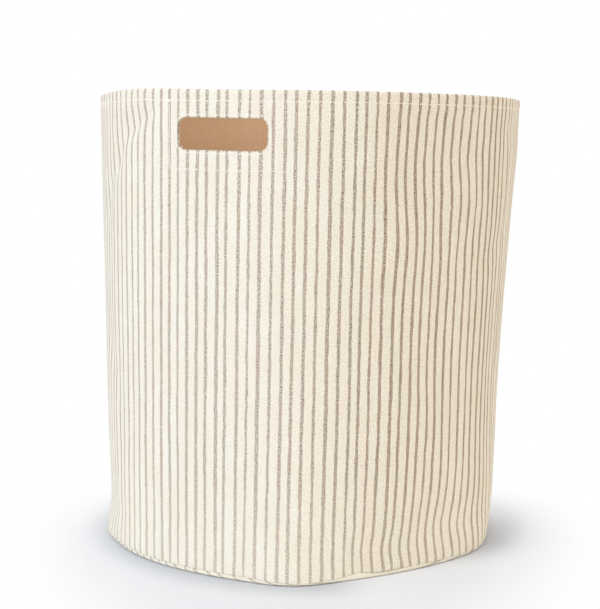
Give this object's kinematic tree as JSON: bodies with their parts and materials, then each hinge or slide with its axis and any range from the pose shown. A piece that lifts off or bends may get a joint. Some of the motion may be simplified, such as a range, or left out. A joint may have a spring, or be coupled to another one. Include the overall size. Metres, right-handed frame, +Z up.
{
  "type": "fabric storage bin",
  "caption": "Soft round storage bin of striped cotton canvas with a tan lining, a turned-over stitched rim and cut-out hand slots with sewn facings.",
  "frame": {"origin": "centre of the bin's bounding box at floor level, under the middle of the base", "axes": "+Z up through the open mouth, -Y towards the front hand slot, +X towards the right side seam"},
  "size_m": [0.4652, 0.464, 0.4847],
  "materials": {
    "striped_canvas": "cream cotton canvas, plain weave, with printed grey-brown pencil stripes",
    "plain_canvas": "unprinted natural cotton canvas, plain weave",
    "tan_lining": "tan cotton lining with a smooth coated face",
    "cotton_tape": "woven cotton binding tape",
    "white_thread": "white twisted sewing thread"
  },
  "bodies": {
    "root": {"outer_panel_front": "striped_canvas", "outer_panel_back": "striped_canvas", "outer_base": "striped_canvas", "lining_panel_front": "tan_lining", "lining_panel_back": "tan_lining", "lining_base": "tan_lining", "handle_facing_front": "plain_canvas", "handle_facing_back": "plain_canvas", "side_binding_right": "cotton_tape", "side_binding_left": "cotton_tape", "base_binding": "cotton_tape", "hem_needle_thread": "white_thread", "hem_bobbin_thread": "white_thread", "base_seam_needle_thread": "white_thread", "base_seam_bobbin_thread": "white_thread", "facing_needle_thread_front": "white_thread", "facing_bobbin_thread_front": "white_thread", "slot_edge_needle_thread_front": "white_thread", "slot_edge_bobbin_thread_front": "white_thread", "facing_needle_thread_back": "white_thread", "facing_bobbin_thread_back": "white_thread", "slot_edge_needle_thread_back": "white_thread", "slot_edge_bobbin_thread_back": "white_thread", "side_seam_needle_thread_right": "white_thread", "side_seam_bobbin_thread_right": "white_thread", "side_seam_needle_thread_left": "white_thread", "side_seam_bobbin_thread_left": "white_thread"}
  },
  "joints": []
}
